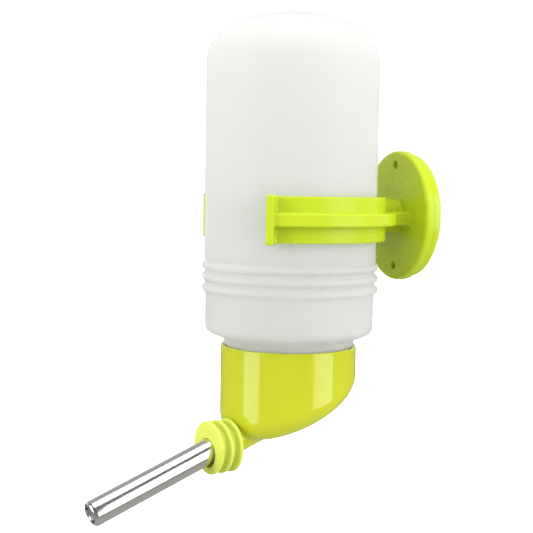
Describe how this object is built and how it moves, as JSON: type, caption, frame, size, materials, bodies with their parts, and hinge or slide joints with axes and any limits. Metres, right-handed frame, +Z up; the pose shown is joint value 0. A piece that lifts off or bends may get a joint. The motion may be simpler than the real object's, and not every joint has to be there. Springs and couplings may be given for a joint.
{
  "type": "rabbit water bottle",
  "caption": "Inverted translucent drinking bottle with a slanted elbow cap, ribbed grommet, steel ball-point tube and a clip bracket that clamps through cage bars.",
  "frame": {"origin": "centre of the bracket disc's cage-side face, where a cage panel is clamped", "axes": "+Z up along the bottle; +Y into the cage wall, out of the bracket disc; the bottle hangs at -Y and the drinking tube points to -Y, turned 13 degrees towards +X"},
  "size_m": [0.0736, 0.129, 0.1681],
  "materials": {
    "bottle_plastic": "translucent, satin",
    "lime_gloss": "gloss",
    "lime_clip": "semi-gloss",
    "lime_rubber": "matt",
    "gasket_rubber": "matt",
    "steel": "polished",
    "ball_steel": "polished"
  },
  "bodies": {
    "bracket": {"bracket": "lime_clip"},
    "clamp_disc": {"clamp_disc": "lime_clip"},
    "thumb_screw": {"thumb_screw": "lime_clip"},
    "bottle": {"bottle": "bottle_plastic"},
    "gasket": {"cap_gasket": "gasket_rubber"},
    "cap": {"cap": "lime_gloss", "grommet": "lime_rubber", "drinking_tube": "steel"},
    "tip_ball": {"tip_ball": "ball_steel"},
    "valve_ball": {"valve_ball": "ball_steel"}
  },
  "joints": [
    {"name": "clamp_travel", "type": "slide", "parent": "bracket", "child": "clamp_disc", "axis": [0, 1, 0], "range_m": [0, 0.006]},
    {"name": "thumb_screw_turn", "type": "hinge", "parent": "clamp_disc", "child": "thumb_screw", "pos_m": [0, 0, 0], "axis": [0, 1, 0], "range_deg": [0, 1080]},
    {"name": "bottle_slide", "type": "slide", "parent": "bracket", "child": "bottle", "axis": [0, 0, 1], "range_m": [-0.045, 0.006]},
    {"name": "cap_travel", "type": "slide", "parent": "bottle", "child": "gasket", "axis": [0, 0, -1], "range_m": [0, 0.006]},
    {"name": "cap_turn", "type": "hinge", "parent": "gasket", "child": "cap", "pos_m": [0, -0.04435, -0.0455], "axis": [0, 0, -1], "range_deg": [0, 540]},
    {"name": "tip_ball_push", "type": "slide", "parent": "cap", "child": "tip_ball", "axis": [-0.2164, 0.9227, 0.319], "range_m": [0, 0.002]},
    {"name": "valve_ball_push", "type": "slide", "parent": "cap", "child": "valve_ball", "axis": [-0.2164, 0.9227, 0.319], "range_m": [0, 0.002]}
  ],
  "couplings": [
    {"joint": "thumb_screw_turn", "follows": "clamp_travel", "rad_per_m": 3141.6},
    {"joint": "cap_travel", "follows": "cap_turn", "m_per_rad": 0.00063662},
    {"joint": "valve_ball_push", "follows": "tip_ball_push", "ratio": 1}
  ]
}
